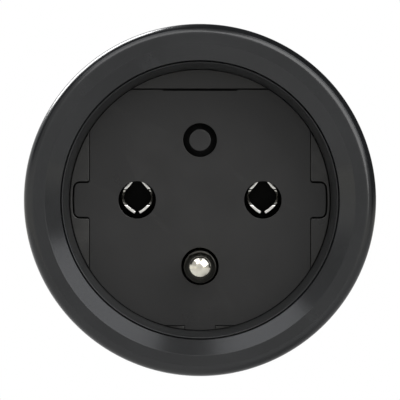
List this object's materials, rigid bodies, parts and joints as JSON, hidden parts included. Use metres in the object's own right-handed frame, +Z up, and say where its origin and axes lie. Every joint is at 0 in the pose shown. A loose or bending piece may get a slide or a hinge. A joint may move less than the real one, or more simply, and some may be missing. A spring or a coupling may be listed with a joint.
{
  "type": "smart plug",
  "caption": "Round smart plug: a deep socket recess with an earth pin and push button in front, a two-pin plug nose with side earth contacts behind.",
  "frame": {"origin": "middle of the rear face of the plug nose, the face that meets the wall outlet", "axes": "+Y into the wall along the two pins, -Y out to the room where the socket recess opens, +Z up (the button is above the middle, the earth pin below), +X right as seen from the front"},
  "size_m": [0.0524, 0.072, 0.0524],
  "materials": {
    "black_plastic": "fine matt moulded grain, black",
    "face_plastic": "fine matt moulded, black",
    "carrier_plastic": "moulded, black",
    "nickel_plate": "nickel plated, semi-bright",
    "tinned_brass": "tinned brass, satin",
    "steel_zinc": "zinc plated steel",
    "soft_iron": "plated soft iron",
    "spring_steel": "drawn spring wire",
    "contact_silver": "silver alloy on spring strip",
    "copper_wire": "enamelled copper wire",
    "board_laminate": "green circuit board laminate",
    "relay_plastic": "dark moulded, satin",
    "nylon_natural": "natural nylon",
    "capacitor_sleeve": "shrink sleeve",
    "film_box": "moulded box",
    "varistor_coat": "dipped coating",
    "ceramic_body": "ceramic",
    "ferrite_core": "ferrite with windings",
    "chip_resin": "moulded resin",
    "led_resin": "clear resin"
  },
  "bodies": {
    "housing": {"front_shell": "black_plastic", "recess_liner": "black_plastic", "socket_face": "face_plastic", "contact_carrier": "carrier_plastic", "rear_shell": "black_plastic", "main_board": "board_laminate", "button_board": "board_laminate", "board_header": "carrier_plastic", "earth_yoke": "nickel_plate", "button_spring": "spring_steel", "switch_body": "chip_resin", "status_led": "led_resin", "earth_pin": "nickel_plate", "earth_sleeve": "tinned_brass", "contact_clip_left": "tinned_brass", "contact_clip_right": "tinned_brass", "plug_pin_left": "nickel_plate", "plug_pin_right": "nickel_plate", "relay_base": "relay_plastic", "relay_cover": "relay_plastic", "relay_bobbin": "nylon_natural", "relay_winding": "copper_wire", "relay_core": "soft_iron", "relay_frame": "soft_iron", "relay_fixed_contact": "contact_silver", "bulk_capacitor_1": "capacitor_sleeve", "bulk_capacitor_2": "capacitor_sleeve", "reservoir_capacitor": "capacitor_sleeve", "drum_inductor": "ferrite_core", "filter_choke": "ferrite_core", "fuse": "ceramic_body", "varistor": "varistor_coat", "film_capacitor": "film_box", "regulator_chip": "chip_resin", "metering_chip": "chip_resin", "current_shunt": "tinned_brass", "radio_board": "board_laminate", "radio_shield": "tinned_brass", "housing_screw_1": "steel_zinc", "housing_screw_2": "steel_zinc", "housing_screw_3": "steel_zinc", "housing_screw_4": "steel_zinc", "carrier_screw_1": "steel_zinc", "carrier_screw_2": "steel_zinc", "carrier_screw_3": "steel_zinc", "carrier_screw_4": "steel_zinc"},
    "button": {"button_cap": "face_plastic"},
    "plunger": {"switch_plunger": "nylon_natural"},
    "armature": {"relay_armature": "soft_iron", "relay_moving_contact": "contact_silver"}
  },
  "joints": [
    {"name": "button_press", "type": "slide", "parent": "housing", "child": "button", "axis": [0, 1, 0], "range_m": [0, 0.0005], "stiffness_N_per_m": 1500, "springref_m": -0.0003, "deforming": ["button_spring"]},
    {"name": "plunger_press", "type": "slide", "parent": "housing", "child": "plunger", "axis": [0, 1, 0], "range_m": [0, 0.0005]},
    {"name": "armature_pull", "type": "hinge", "parent": "housing", "child": "armature", "pos_m": [-0.0069, -0.0081, 0.0085], "axis": [0, 0, -1], "range_deg": [0, 3.2], "stiffness_Nm_per_rad": 0.002, "springref_deg": -17.19}
  ],
  "couplings": [
    {"joint": "plunger_press", "follows": "button_press", "ratio": 1}
  ]
}
